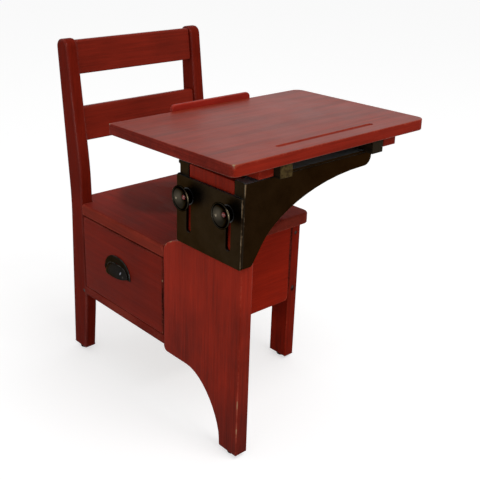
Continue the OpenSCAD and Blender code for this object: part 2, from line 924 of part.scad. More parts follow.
strip_x = [
    batten_right_x + batten_w / 2,
    bar_right_x + bar_w / 2,
    bar_left_x + bar_w / 2,
    batten_left_x + batten_w / 2
];
strip_screw_y = [batten_y0 + 8, neck_d + 36, batten_y0 + batten_l - 24];
strip_screw_d = 4;
strip_head_d = 8;
strip_head_h = 3;
module strip_screw_set() {
    for (i = [0 : 3])
        for (y = strip_screw_y) {
            low_z = i == 0 || i == 3 ? top_under_z - batten_t : strip_z;
            translate([strip_x[i], y, low_z + strip_head_h])
                cylinder(d = strip_screw_d, h = top_under_z - low_z - strip_head_h + top_t * 0.6);
            translate([strip_x[i], y, low_z + strip_screw_sink])
                cylinder(d = strip_head_d, h = strip_head_h - strip_screw_sink);
        }
}
strip_screw_sink = 0.5;
module strip_screw_sinks() {
    for (x = strip_x)
        for (y = strip_screw_y)
            translate([x, y, strip_z - cut])
                cylinder(d = strip_head_d, h = cut + strip_head_h);
}
module batten(x) {
    sloping()
        difference() {
            block([x, batten_y0, top_under_z - batten_t], [x + batten_w, batten_y0 + batten_l, top_under_z]);
            strip_screw_set();
            translate([0, 0, bar_h - batten_t])
                strip_screw_sinks();
        }
}
module bar(x) {
    sloping()
        difference() {
            block([x, bar_y0, strip_z], [x + bar_w, bar_y0 + bar_l, top_under_z]);
            strip_screw_set();
            strip_screw_sinks();
            slide_screw_threads();
        }
}

// Slide screws: head under the table, shoulder in its slot, thread in the bar
slide_thread_d = 5;
slide_thread_l = 14;
slide_screw_x = [bar_right_x + bar_w / 2, bar_left_x + slide_head_d / 2 + 2];
slide_screw_y = [slot_rear_y - slide_screw_pitch, slot_rear_y];
module slide_screw_threads() {
    for (x = slide_screw_x)
        for (y = slide_screw_y)
            translate([x, y, strip_z])
                cylinder(d = slide_thread_d, h = slide_thread_l);
}
module slide_screws_all() {
    head_z = table_z - table_t - running_gap - slide_head_h;
    sloping() {
        slide_screw_threads();
        for (x = slide_screw_x)
            for (y = slide_screw_y)
                translate([x, y, head_z]) {
                    cylinder(d = slide_head_d, h = slide_head_h);
                    cylinder(d = shoulder_d, h = strip_z - head_z);
                }
    }
}

module side_panel() { color(barn_red) at_origin() panel(); }
module rear_post_right() { color(barn_red) at_origin() post(0); }
module rear_post_left() { color(barn_red) at_origin() post(left_post_x); }
module back_top_slat() { color(barn_red) at_origin() slat(top_slat_z, top_slat_h); }
module back_middle_slat() { color(barn_red) at_origin() slat(middle_slat_z, middle_slat_h); }
module seat_board() { color(barn_red) at_origin() seat(); }
module front_leg_left() { color(barn_red) at_origin() leg(); }
module front_apron() { color(barn_red) at_origin() apron_at_front(); }
module left_side_apron() { color(barn_red) at_origin() apron_at_side(); }
module rear_apron() { color(barn_red) at_origin() apron_at_rear(); }
module drawer_rail() { color(barn_red) at_origin() rail(); }
module drawer_runner_front() { color(barn_red) at_origin() runner_at_front(); }
module drawer_runner_rear() { color(barn_red) at_origin() runner_at_rear(); }
module frame_screws() { color(blackened) at_origin() frame_screw_set(); }
module floor_glides() { color(blackened) at_origin() glides(); }
module drawer_front() { color(barn_red) at_origin() front_of_drawer(); }
module drawer_side_front() { color(barn_red) at_origin() side_of_drawer(body_y0); }
module drawer_side_rear() { color(barn_red) at_origin() side_of_drawer(body_y1 - side_t); }
module drawer_back() { color(barn_red) at_origin() back_of_drawer(); }
module drawer_bottom() { color(barn_red) at_origin() bottom_of_drawer(); }
module drawer_pull() { color(blackened) at_origin() pull(); }
module pull_screws() { color(blackened) at_origin() pull_screw_set(pull_screw_d, pull_head_d, pull_head_h); }
module desk_bracket() { color(iron) at_origin() bracket(); }
module clamp_bolts() { color(steel) at_origin() bolts(); }
module clamp_washers() { color(iron) at_origin() washers(); }
module knob_front() { color(iron) at_origin() knob(bolt_y[0]); }
module knob_rear() { color(iron) at_origin() knob(bolt_y[1]); }
module desktop_board() { color(barn_red) at_origin() board(); }
module book_ledge() { color(bright_red) at_origin() ledge(); }
module ledge_screws() { color(blackened) at_origin() sloping() ledge_screw_set(); }
module batten_right() { color(barn_red) at_origin() batten(batten_right_x); }
module batten_left() { color(barn_red) at_origin() batten(batten_left_x); }
module slide_bar_right() { color(bar_brown) at_origin() bar(bar_right_x); }
module slide_bar_left() { color(bar_brown) at_origin() bar(bar_left_x); }
module strip_screws() { color(steel) at_origin() sloping() strip_screw_set(); }
module slide_screws() { color(steel) at_origin() slide_screws_all(); }

side_panel();
rear_post_right();
rear_post_left();
back_top_slat();
back_middle_slat();
seat_board();
front_leg_left();
front_apron();
left_side_apron();
rear_apron();
drawer_rail();
drawer_runner_front();
drawer_runner_rear();
frame_screws();
floor_glides();
drawer_front();
drawer_side_front();
drawer_side_rear();
drawer_back();
drawer_bottom();
drawer_pull();
pull_screws();
desk_bracket();
clamp_bolts();
clamp_washers();
knob_front();
knob_rear();
desktop_board();
book_ledge();
ledge_screws();
batten_right();
batten_left();
slide_bar_right();
slide_bar_left();
strip_screws();
slide_screws();
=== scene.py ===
import math

import bmesh
import bpy
import numpy as np
from mathutils import Matrix, Vector
from mathutils.geometry import intersect_point_line


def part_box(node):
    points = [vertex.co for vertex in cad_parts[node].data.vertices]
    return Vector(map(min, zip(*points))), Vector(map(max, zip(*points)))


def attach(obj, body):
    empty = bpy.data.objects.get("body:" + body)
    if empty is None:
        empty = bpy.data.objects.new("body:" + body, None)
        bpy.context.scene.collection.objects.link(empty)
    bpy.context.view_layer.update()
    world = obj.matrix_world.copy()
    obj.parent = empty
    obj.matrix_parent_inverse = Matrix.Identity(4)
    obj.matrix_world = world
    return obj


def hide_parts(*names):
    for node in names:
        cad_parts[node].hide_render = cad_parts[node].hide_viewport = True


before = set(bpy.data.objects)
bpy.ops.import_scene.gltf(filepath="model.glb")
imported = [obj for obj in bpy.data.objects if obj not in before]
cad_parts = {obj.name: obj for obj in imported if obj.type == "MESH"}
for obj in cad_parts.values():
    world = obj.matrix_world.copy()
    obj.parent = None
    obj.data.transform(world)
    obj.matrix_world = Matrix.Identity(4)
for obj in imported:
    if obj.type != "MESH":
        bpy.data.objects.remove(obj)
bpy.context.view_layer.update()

# Camera, floor and light.
# The camera stands before the desk at the sitter's right, a little above its top. A pale world gives
# most of the light; one soft lamp is overhead in front, and a small one low at the sitter's right.
CAMERA_PLACE = (-1.13238, -1.28056, 1.04656)
CAMERA_YAW = 42.74
CAMERA_PITCH = -22.91
CAMERA_ROLL = 1.87
CAMERA_LENS = 62.98
CAMERA_FRAME = 36.0

scene = bpy.context.scene
scene.view_settings.view_transform = "Standard"


def camera_turn(yaw, pitch, roll):
    """The camera's axes: forward at the yaw and pitch, right level, then both turned by the roll."""
    yaw, pitch, roll = (math.radians(angle) for angle in (yaw, pitch, roll))
    forward = Vector((math.sin(yaw) * math.cos(pitch), math.cos(yaw) * math.cos(pitch), math.sin(pitch)))
    right = Vector((math.cos(yaw), -math.sin(yaw), 0.0))
    up = right.cross(forward)
    rolled_right = right * math.cos(roll) + up * math.sin(roll)
    rolled_up = up * math.cos(roll) - right * math.sin(roll)
    return Matrix((rolled_right, rolled_up, -forward)).transposed().to_4x4()


camera = bpy.data.objects.new("camera", bpy.data.cameras.new("camera"))
scene.collection.objects.link(camera)
turn = camera_turn(CAMERA_YAW, CAMERA_PITCH, CAMERA_ROLL)
camera.matrix_world = Matrix.Translation(CAMERA_PLACE) @ turn
camera.data.lens = CAMERA_LENS
camera.data.sensor_width = CAMERA_FRAME
scene.camera = camera


def soft_lamp(name, place, aim, size, watts):
    """A square area lamp at a place, facing the point that it is aimed at."""
    lamp = bpy.data.objects.new(name, bpy.data.lights.new(name, "AREA"))
    lamp.data.size = size
    lamp.data.energy = watts
    lamp.location = place
    lamp.rotation_mode = "QUATERNION"
    lamp.rotation_quaternion = (Vector(aim) - Vector(place)).to_track_quat("-Z", "Y")
    scene.collection.objects.link(lamp)


soft_lamp("overhead_lamp", (0.2, -1.75, 3.4), (0.0, 0.0, 0.4), size=1.6, watts=45.0)
soft_lamp("side_lamp", (-3.05, -1.1, 0.40), (-0.2, -0.15, 0.45), size=0.4, watts=8.0)


class Value:
    """A socket of a material. Python arithmetic on it adds the material's Math nodes."""

    def __init__(self, finish, socket):
        self.finish = finish
        self.socket = socket

    def maths(self, operation, *others):
        """A Math node of that operation, with this value first."""
        return self.finish.node("ShaderNodeMath", {"operation": operation}, enumerate((self, *others)))

    def __add__(self, other):
        return self.maths("ADD", other)

    __radd__ = __add__

    def __mul__(self, other):
        return self.maths("MULTIPLY", other)

    __rmul__ = __mul__

    def __sub__(self, other):
        return self.maths("SUBTRACT", other)

    def __rsub__(self, other):
        return self.finish.node("ShaderNodeMath", {"operation": "SUBTRACT"}, {0: other, 1: self})

    def step(self, low, high):
        """A smooth rise from 0 at low to 1 at high; it falls where low is above high."""
        return self.finish.node(
            "ShaderNodeMapRange",
            {"interpolation_type": "SMOOTHSTEP"},
            {"Value": self, "From Min": low, "From Max": high},
        )


class Finish:
    """A material on the Principled shader, built from nodes that node() adds."""

    def __init__(self, name):
        self.material = bpy.data.materials.new(name)
        self.material.use_nodes = True
        self.tree = self.material.node_tree
        self.shader = self.tree.nodes["Principled BSDF"]

    def join(self, value, socket):
        """Links a value to a socket, or writes a number, a colour or a vector on it."""
        if isinstance(value, Value):
            self.tree.links.new(value.socket, socket)
        elif hasattr(value, "__len__") and len(value) == 3 and socket.type == "RGBA":
            socket.default_value = (*value, 1.0)
        else:
            socket.default_value = value

    def node(self, kind, settings=(), links=(), out=0):
        """Adds a node of that kind, sets it, joins its inputs and gives one of its outputs."""
        made = self.tree.nodes.new(kind)
        for key, value in dict(settings).items():
            setattr(made, key, value)
        for key, value in dict(links).items():
            self.join(value, made.inputs[key])
        return Value(self, made.outputs[out])

    def place(self, stretch=(1.0, 1.0, 1.0), shift=(0.0, 0.0, 0.0)):
        """Object coordinates, stretched along each axis and moved."""
        point = self.node("ShaderNodeTexCoord", out="Object")
        links = {"Vector": point, "Scale": stretch, "Location": shift}
        return self.node("ShaderNodeMapping", links=links)

    def along(self, axis):
        """How far along the x, y or z axis a point lies, in metres."""
        return self.node("ShaderNodeSeparateXYZ", links={0: self.place()}, out="xyz".index(axis))

    def noise(self, place, scale, detail=2.0, roughness=0.5, distortion=0.0):
        """A cloudy pattern from 0 to 1, with about that many clouds in a metre."""
        links = {"Vector": place, "Scale": scale, "Detail": detail}
        links.update({"Roughness": roughness, "Distortion": distortion})
        return self.node("ShaderNodeTexNoise", links=links)

    def mix(self, share, first, second, blend="MIX"):
        """The first colour, with a share of the second blended in."""
        return self.node(
            "ShaderNodeMix",
            {"data_type": "RGBA", "blend_type": blend},
            {"Factor": share, 6: first, 7: second},
            out=2,
        )

    def attribute(self, name):
        """A number that the mesh keeps at each of its points."""
        return self.node("ShaderNodeAttribute", {"attribute_name": name}, out="Fac")

    def bump(self, height, distance):
        """The normal of a relief that is as high as the distance where height is 1."""
        links = {"Height": height, "Distance": distance, "Strength": 1.0}
        return self.node("ShaderNodeBump", links=links)

    def near(self, centre, radius, stretch=(1.0, 1.0, 1.0)):
        """1 at a point of the piece, falling to 0 at the radius from it. A stretch under 1 draws the
        patch out along that axis."""
        links = {0: self.place(stretch), 1: [c * s for c, s in zip(centre, stretch)]}
        gap = self.node("ShaderNodeVectorMath", {"operation": "DISTANCE"}, links, out="Value")
        return gap.step(radius, 0.0)

    def patches(self, places):
        """The sum of near() over places, each a point, a radius, a strength and a stretch."""
        total = 0.0
        for centre, radius, strength, stretch in places:
            total = self.near(centre, radius, stretch) * strength + total
        return total

    def colour(self):
        """The colour that has been joined to the shader so far."""
        return Value(self, self.shader.inputs["Base Color"].links[0].from_socket)

    def set(self, **values):
        """Joins values to the shader's sockets, whose names are written with underscores."""
        for key, value in values.items():
            socket = key.replace("_", " ").title().replace("Ior", "IOR")
            self.join(value, self.shader.inputs[socket])


SKY_LIGHT = 0.62
SEEN_RAYS = ("Is Camera Ray", "Is Glossy Ray", "Is Transmission Ray")
world = bpy.data.worlds.new("studio")
world.use_nodes = True
scene.world = world
world_tree = world.node_tree
world_path = world_tree.nodes.new("ShaderNodeLightPath")
world_tree.nodes["Background"].inputs["Color"].default_value = (1.0, 1.0, 1.0, 1.0)
world_strength = None
for ray in SEEN_RAYS:
    step = world_tree.nodes.new("ShaderNodeMath")
    step.operation = "MULTIPLY_ADD"
    world_tree.links.new(world_path.outputs[ray], step.inputs[0])
    step.inputs[1].default_value = 1.0 - SKY_LIGHT
    step.inputs[2].default_value = SKY_LIGHT
    if world_strength:
        world_tree.links.new(world_strength, step.inputs[2])
    world_strength = step.outputs[0]
world_tree.links.new(world_strength, world_tree.nodes["Background"].inputs["Strength"])

FLOOR_HALF = 40.0
FLOOR_TONE = 0.55
FLOOR_GLOW = 0.60
floor_finish = Finish("pale_floor")
floor_finish.set(base_color=(FLOOR_TONE,) * 3, roughness=1.0, specular_ior_level=0.0)
camera_ray, glossy_ray, through_ray = (
    floor_finish.node("ShaderNodeLightPath", out=ray) for ray in SEEN_RAYS
)
glow = floor_finish.node(
    "ShaderNodeEmission",
    links={"Color": (1.0, 1.0, 1.0), "Strength": (camera_ray + glossy_ray + through_ray) * FLOOR_GLOW},
)
shaded = Value(floor_finish, floor_finish.shader.outputs[0])
floor_sum = floor_finish.node("ShaderNodeAddShader", links={0: shaded, 1: glow})
floor_finish.join(floor_sum, floor_finish.tree.nodes["Material Output"].inputs["Surface"])
floor_mesh = bpy.data.meshes.new("floor")
floor_corners = [(x * FLOOR_HALF, y * FLOOR_HALF, 0.0) for x, y in ((-1, -1), (1, -1), (1, 1), (-1, 1))]
floor_mesh.from_pydata(floor_corners, [], [(0, 1, 2, 3)])
floor_mesh.materials.append(floor_finish.material)
floor = bpy.data.objects.new("floor", floor_mesh)
scene.collection.objects.link(floor)


# Side panel.
# One wide pine board, bandsawn to a foot, a scoop, a shoulder and a neck with a tongue.
# It is brushed barn red; hands and shoes have rubbed the paint thin along its arrises.
ARRIS_ANGLE = math.radians(28.0)
SHARP_ANGLE = math.radians(50.0)
FLAT_ANGLE = math.radians(0.4)
HOLLOW_ANGLE = -0.03
WELD = 1e-6
CUT_STEP = 0.012
MARK_STEP = 0.004
RIM_LENGTH = 0.0014
ROUND_LENGTH = 0.0008
SHORTEST = 0.0001
ON_LINE = 0.00002
BROAD_STEPS = 5
EASE_STEPS = 3
BLOCK = 300
RED = (0.253, 0.0170, 0.0075)
RUBBED_RED = (0.38, 0.060, 0.036)
PAINT_TINT = (1.0, 0.85, 0.6)
DARKEST = 0.08
FLOOR_SHADE_TOP = 0.40
FLOOR_SHADE_FULL = 0.04
BARE_PINE = (0.40, 0.24, 0.13)


def read_points(mesh, what):
    """The coordinates or the normals of a mesh's points, one row for each point."""
    values = np.empty(3 * len(mesh.vertices), np.float32)
    mesh.vertices.foreach_get(what, values)
    return values.reshape(-1, 3)


def keep(mesh, name, values):
    """Writes one number for each point as an attribute of the mesh."""
    mesh.attributes.new(name, "FLOAT", "POINT").data.foreach_set("value", values)


def smooth(work, mesh):
    """Writes the worked faces into the mesh, smooth but for edges that turn by more than SHARP_ANGLE,
    and keeps each point's normal as the attributes normal_x, normal_y and normal_z."""
    for face in work.faces:
        face.smooth = True
    for edge in work.edges:
        edge.smooth = edge.calc_face_angle(0.0) < SHARP_ANGLE
    work.to_mesh(mesh)
    work.free()
    for axis, values in zip("xyz", read_points(mesh, "normal").T.copy()):
        keep(mesh, "normal_" + axis, values)


def fit(name, mesh, finish, body, slot, *nodes):
    """The mesh as a finished piece on a body, in the place of those CAD nodes."""
    mesh.materials.clear()
    mesh.materials.append(finish.material)
    piece = bpy.data.objects.new(name, mesh)
    scene.collection.objects.link(piece)
    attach(piece, body)
    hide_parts(*nodes)
    return piece


def arris_marks(arrises):
    """Points along the arrises, about MARK_STEP apart and at least three on each."""
    marks = []
    for edge in arrises:
        start, end = (v.co for v in edge.verts)
        steps = max(2, int((end - start).length / MARK_STEP))
        marks.append(np.linspace(start, end, steps + 1))
    return np.concatenate(marks)


def gap_mm(points, marks):
    """Each point's distance in millimetres from the nearest mark: the least of the roots of the
    summed squares, worked out for a block of points at a time."""
    blocks = np.array_split(points, len(points) // BLOCK + 1)
    gaps = [np.linalg.norm(block[:, None] - marks, axis=2).min(axis=1) for block in blocks]
    return 1000.0 * np.concatenate(gaps)


def lies_on(edge, start, end):
    """Whether both ends of an edge lie on the line through start and end."""
    gaps = [(v.co - intersect_point_line(v.co, start, end)[0]).length for v in edge.verts]
    return edge.calc_length() > SHORTEST and max(gaps) < ON_LINE


def round_over(work, edges, reach, steps):
    """Bevels the edges that are still there by reach, in that many steps."""
    edges = [e for e in edges if e.is_valid]
    bmesh.ops.bevel(
        work, geom=edges, offset=reach, segments=steps, profile=0.5, affect="EDGES", clamp_overlap=False
    )


def eased_board(node, body, slot, finish, ease, broad=None, broad_ease=0.0, rims=False, square=False):
    """A copy of a CAD piece with rounded arrises, cut by a grid of planes. Every edge that turns by
    more than ARRIS_ANGLE is bevelled by ease, and by broad_ease where broad(middle, faces) says so;
    the rims of small holes only if rims is set. square first draws the small rounds at the front and
    back of a foot's sole out to square corners, and eases the arrises above them to their full length.
    The attribute edge_mm is each point's distance in millimetres from the nearest arris."""
    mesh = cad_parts[node].data.copy()
    mesh.name = node + "_board"
    work = bmesh.new()
    work.from_mesh(mesh)
    bmesh.ops.remove_doubles(work, verts=work.verts, dist=WELD)
    bmesh.ops.dissolve_limit(work, angle_limit=FLAT_ANGLE, verts=work.verts, edges=work.edges)

    def on_rim(edge):
        around = (e for v in edge.verts for e in v.link_edges)
        hollow = any(e.calc_face_angle_signed(0.0) < HOLLOW_ANGLE for e in around)
        return edge.calc_length() < RIM_LENGTH and hollow

    if square:
        short = [e for e in work.edges if e.calc_length() < ROUND_LENGTH and not on_rim(e)]
        rounds = {v for e in short for v in e.verts}
        front, back = min(v.co.y for v in rounds), max(v.co.y for v in rounds)
        sole = min(v.co.z for v in rounds)
        for v in rounds:
            v.co.y = front if v.co.y < (front + back) / 2 else back
            v.co.z = sole
        bmesh.ops.remove_doubles(work, verts=work.verts, dist=WELD)
    arrises = [e for e in work.edges if len(e.link_faces) == 2 and e.calc_face_angle(0.0) > ARRIS_ANGLE]
    arrises = [e for e in arrises if rims or not on_rim(e)]
    marks = arris_marks(arrises)
    wide = [e for e in arrises if broad and broad((e.verts[0].co + e.verts[1].co) / 2, e.link_faces)]
    narrow = [e for e in arrises if e not in set(wide)]
    lines = [(e.verts[0].co.copy(), e.verts[1].co.copy()) for e in narrow]
    round_over(work, wide, broad_ease, BROAD_STEPS)
    if square:
        narrow = [e for e in work.edges if any(lies_on(e, *line) for line in lines)]
    round_over(work, narrow, ease, EASE_STEPS)
    low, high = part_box(node)
    for axis in range(3):
        normal = Vector([float(i == axis) for i in range(3)])
        count = int((high[axis] - low[axis]) / CUT_STEP)
        for i in range(1, count):
            point = normal * (low[axis] + (high[axis] - low[axis]) * i / count)
            everything = list(work.verts) + list(work.edges) + list(work.faces)
            bmesh.ops.bisect_plane(work, geom=everything, dist=WELD, plane_co=point, plane_no=normal)
    smooth(work, mesh)
    keep(mesh, "edge_mm", gap_mm(read_points(mesh, "co"), marks))
    board = fit(node + "_board", mesh, finish, body, slot, node)
    steady = board.modifiers.new("steady", "WEIGHTED_NORMAL")
    steady.keep_sharp = True
    return board


def along_grain(grain, across, length):
    """A stretch that makes a pattern fine across the grain and long along it."""
    stretch = [across] * 3
    stretch["xyz".index(grain)] = length
    return stretch


def barn_paint(
    name, grain, seed, tone=1.0, sheen=0.04, roughness=0.45, red=RED,
    spots=(), shade_and_grime=(), floor_shade=0.0, gloss=0.0,
):
    """Brushed barn red over wood. Grain, fibre and brush marks run along the grain axis and darken or
    lighten the red; the paint is rubbed bright along the arrises and chipped to the wood in a few
    places. spots are worn places, each a point of the piece, a radius, a strength and a stretch; the
    dark patches, given the same way, are painted shade in gaps, joints and recesses, and dark marks
    round screws. A painted shade darkens the paint towards the floor by its given share; gloss polishes
    it along the arrises."""
    finish = Finish(name)
    shift = (seed * 1.7, seed * 0.9, seed * 2.3)
    grain_line = finish.noise(finish.place(along_grain(grain, 250.0, 8.0), shift), 1.0, 3.0, 0.55, 0.5)
    fibre = finish.noise(finish.place(along_grain(grain, 900.0, 26.0), shift), 1.0, 2.0, 0.5)
    brush = finish.noise(finish.place(along_grain(grain, 75.0, 4.0), shift), 1.0, 3.0, 0.6, 0.3)
    cloud = finish.noise(finish.place(shift=shift), 8.0, 4.0, 0.55)
    speck = finish.noise(finish.place(shift=shift), 340.0, 2.0, 0.6)
    chip = finish.noise(finish.place(shift=shift), 230.0, 3.0, 0.65)
    edge = finish.attribute("edge_mm")
    shade = (grain_line - 0.5) * 0.60 + (fibre - 0.5) * 0.50 + (brush - 0.5) * 0.60 + (cloud - 0.5) * 0.75
    # Dark patches: painted shade in gaps, joints and recesses, and dark marks round screws.
    shade = shade + 1.0 - finish.patches(shade_and_grime)
    # Painted shade, darker towards the floor.
    if floor_shade:
        shade = shade - (finish.along("z") + (cloud - 0.5) * 0.25).step(FLOOR_SHADE_TOP, FLOOR_SHADE_FULL) * floor_shade
    base = finish.mix(1.0, [c * tone for c in red], shade.maths("MAXIMUM", DARKEST), "MULTIPLY")
    worn = (cloud - 0.5) * 6.0 + (chip - 0.5) * 5.0 + finish.patches(spots)
    rubbed = (edge - worn + (speck - 0.5) * 1.6).step(2.6, 0.3)
    base = finish.mix(rubbed * 0.55, base, [c * tone for c in RUBBED_RED])
    bare = (edge - worn * 1.5 + (speck - 0.5) * 3.0).step(-2.2, -4.4)
    base = finish.mix(bare, base, BARE_PINE)
    finish.set(
        base_color=base,
        roughness=(fibre - 0.5) * 0.3 + (cloud - 0.5) * 0.2 + roughness,
        normal=finish.bump(grain_line * 0.6 + fibre * 0.3 + chip * 0.5 - bare * 0.6, 0.00035),
        specular_ior_level=sheen,
        specular_tint=PAINT_TINT,
    )
    if gloss:
        broken = cloud * (speck.step(0.35, 0.65) * 0.8 + 0.2)
        finish.set(coat_weight=edge.step(7.0, 1.0) * broken * gloss, coat_roughness=0.22)
    return finish


ROUND = (1.0, 1.0, 1.0)
UPRIGHT = (1.0, 1.0, 0.12)
OUTER_X = -0.207
PANEL_FRONT_Y = -0.286
panel_spots = [
    ((OUTER_X, -0.061, 0.391), 0.009, 2.6, ROUND),
    ((OUTER_X, -0.078, 0.401), 0.010, 3.0, ROUND),
    ((OUTER_X + 0.008, PANEL_FRONT_Y, 0.181), 0.0055, 5.0, (1.0, 1.0, 2.0)),
    ((OUTER_X, PANEL_FRONT_Y, 0.124), 0.0046, 3.8, UPRIGHT),
    ((OUTER_X, PANEL_FRONT_Y, 0.066), 0.0044, 3.9, UPRIGHT),
]
DRAWER_LOW, DRAWER_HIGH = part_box("drawer_front")
DRAWER_MIDDLE = (DRAWER_LOW + DRAWER_HIGH) / 2
# Painted shade: a dark line along the gap beside the drawer front, and the panel darkened where it shows
# through the pad's slots. The panel is also painted darker towards the floor.
panel_painted_shade = [((DRAWER_LOW.x, DRAWER_LOW.y - 0.0030, DRAWER_MIDDLE.z), 0.0055, 0.95, (1.0, 1.0, 0.03))]
for knob in ("knob_front", "knob_rear"):
    hub = (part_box(knob)[0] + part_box(knob)[1]) / 2
    panel_painted_shade.append(((DRAWER_LOW.x, hub.y, hub.z - 0.030), 0.060, 0.65, (1.0, 2.0, 1.0)))
panel_paint = barn_paint(
    "panel_paint", "z", 0.0, tone=1.10, spots=panel_spots, shade_and_grime=panel_painted_shade, floor_shade=0.46
)
PANEL_EASE = 0.0018
FOOT_EASE = 0.0050
SOLE = 0.001
foot_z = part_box("side_panel")[0].z


def foot_arris(middle, faces):
    """The edges round the sole of a foot, which dragging over floors has worn round."""
    return middle.z < foot_z + SOLE


eased_board("side_panel", "chair", "barn_red_paint", panel_paint, PANEL_EASE, foot_arris, FOOT_EASE)


# Back posts and slats.
# Two bandsawn posts, which are the rear legs below the seat, and two slats let in between them.
# Their arrises were rounded before painting, and shine where hands take hold of the back.
POST_EASE = 0.0036
POST_FOOT_EASE = 0.0072
SLAT_EASE = 0.0034
post_spots = [((OUTER_X, 0.274, 0.726), 0.010, 3.2, ROUND)]
# The posts are painted darker towards the floor: painted shade.
post_paint = barn_paint(
    "post_paint", "z", 1.0, tone=0.585, sheen=0.01, spots=post_spots, floor_shade=0.16, gloss=0.65
)
slat_paint = barn_paint("slat_paint", "x", 2.0, tone=0.70, sheen=0.07, gloss=0.5)
for node in ("rear_post_right", "rear_post_left"):
    eased_board(
        node, "chair", "barn_red_paint", post_paint, POST_EASE, foot_arris, POST_FOOT_EASE, square=True
    )
for node in ("back_top_slat", "back_middle_slat"):
    eased_board(node, "chair", "barn_red_paint", slat_paint, SLAT_EASE)


# Front leg, aprons, drawer rail and runners.
# Sawn boards screwed together under the seat. The runners, which are left bare, carry the drawer.
APRON_RED = (0.310, 0.0155, 0.0050)
SAWN_EASE = 0.0012
RUNNER_EASE = 0.0008
JOINT_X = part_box("front_leg_left")[0].x
LEG_SCREW_X = 0.153
LEG_FACE_Y = -0.074
# Painted shade along the joint between the leg and the front apron, and darker paint round two screw
# heads in the leg. The leg is also painted darker towards the floor.
joint_shade_and_screw_marks = [
    ((JOINT_X, LEG_FACE_Y, 0.285), 0.0062, 1.15, (1.0, 1.0, 0.045)),
    ((LEG_SCREW_X, LEG_FACE_Y, 0.3265), 0.0070, 1.1, ROUND),
    ((LEG_SCREW_X, LEG_FACE_Y, 0.1870), 0.0075, 1.3, (1.0, 1.0, 0.7)),
]
frame_paint = barn_paint("frame_paint", "x", 3.0, sheen=0.02, red=APRON_RED, shade_and_grime=joint_shade_and_screw_marks)
leg_paint = barn_paint(
    "leg_paint", "z", 4.0, tone=0.90, sheen=0.02, red=APRON_RED, shade_and_grime=joint_shade_and_screw_marks, floor_shade=0.32
)
side_paint = barn_paint("side_paint", "y", 5.0, tone=0.58, sheen=0.02)
eased_board("front_leg_left", "chair", "barn_red_paint", leg_paint, PANEL_EASE, foot_arris, FOOT_EASE)
for node, paint in (
    ("front_apron", frame_paint),
    ("rear_apron", frame_paint),
    ("left_side_apron", side_paint),
    ("drawer_rail", side_paint),
):
    eased_board(node, "chair", "barn_red_paint", paint, SAWN_EASE)

PINE = (0.46, 0.27, 0.125)
PINE_LATE = (0.25, 0.125, 0.052)


def bare_wood(name, grain, seed, early=PINE, late=PINE_LATE, roughness=0.55):
    """Planed wood without paint: darker late wood in long lines, fine pores and handling marks."""
    finish = Finish(name)
    shift = (seed * 1.3, seed * 2.1, seed * 0.7)
    ring = finish.noise(finish.place(along_grain(grain, 95.0, 3.0), shift), 1.0, 3.0, 0.5, 0.8)
    fibre = finish.noise(finish.place(along_grain(grain, 1100.0, 30.0), shift), 1.0, 2.0, 0.5)
    cloud = finish.noise(finish.place(shift=shift), 11.0, 3.0, 0.55)
    edge = finish.attribute("edge_mm")
    base = finish.mix(ring.step(0.42, 0.66), early, late)
    base = finish.mix(1.0, base, (fibre - 0.5) * 0.7 + (cloud - 0.5) * 0.6 + 1.0, "MULTIPLY")
    base = finish.mix((edge + (cloud - 0.5) * 4.0).step(1.8, 0.2) * 0.35, base, [c * 0.4 for c in late])
    finish.set(
        base_color=base,
        roughness=(fibre - 0.5) * 0.25 + roughness,
        normal=finish.bump(ring * 0.4 + fibre * 0.6, 0.0004),
        specular_ior_level=0.2,
    )
    return finish


runner_wood = bare_wood("runner_wood", "x", 1.0)
for node in ("drawer_runner_front", "drawer_runner_rear"):
    eased_board(node, "chair", "drawer_wood", runner_wood, RUNNER_EASE)


# Seat.
# A board saddled at the front, notched round the panel and the posts. Its top arris is broadly
# rounded, and years of use have left the paint on it matt, greyed and mottled.
SEAT_EASE = 0.0015
SEAT_TOP_EASE = 0.0048
FACES_UP = 0.8
FRONT_BAND = 0.022
PANEL_NOTCH = 0.030
POST_NOTCH = 0.0305
FAR_SIDE_X = 0.150
seat_low, seat_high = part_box("seat_board")
notch_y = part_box("rear_post_left")[0].y + POST_NOTCH


def seat_arris(middle, faces):
    """The top edges at the front, at the drawer's side and at the far side, but not in the notches."""
    on_top = any(face.normal.z > FACES_UP for face in faces) and middle.z > seat_low.z + 0.004
    at_front = middle.y < seat_low.y + FRONT_BAND and middle.x > seat_low.x + PANEL_NOTCH
    at_sides = middle.x < seat_low.x + 0.0004 or middle.x > FAR_SIDE_X
    return on_top and (at_front or at_sides) and middle.y < notch_y


def seat_paint():
    """Barn red that is redder at the edges. On top it is matt and greyed, with dull patches rubbed
    by the sitter, and painted shade makes it darkest in the hollow towards the back."""
    finish = barn_paint("seat_paint", "y", 6.0, sheen=0.04, roughness=0.62, red=(0.192, 0.0220, 0.0120))
    patch = finish.noise(finish.place(), 13.0, 4.0, 0.6)
    red = finish.colour()
    # Painted shade, darkest in the hollow towards the back of the seat.
    hollow = finish.near((-0.030, 0.170, seat_high.z), 0.150).step(0.05, 0.35)
    greyed_and_shaded = finish.mix(hollow, (1.07, 0.84, 0.95), (0.55, 0.42, 0.42))
    top_red = finish.mix(1.0, red, greyed_and_shaded, "MULTIPLY")
    top_red = finish.mix(patch.step(0.46, 0.72) * 0.26, top_red, (0.075, 0.034, 0.026))
    finish.set(base_color=finish.mix(finish.attribute("normal_z").step(0.80, 0.985), red, top_red))
    return finish


eased_board("seat_board", "chair", "barn_red_paint", seat_paint(), SEAT_EASE, seat_arris, SEAT_TOP_EASE)


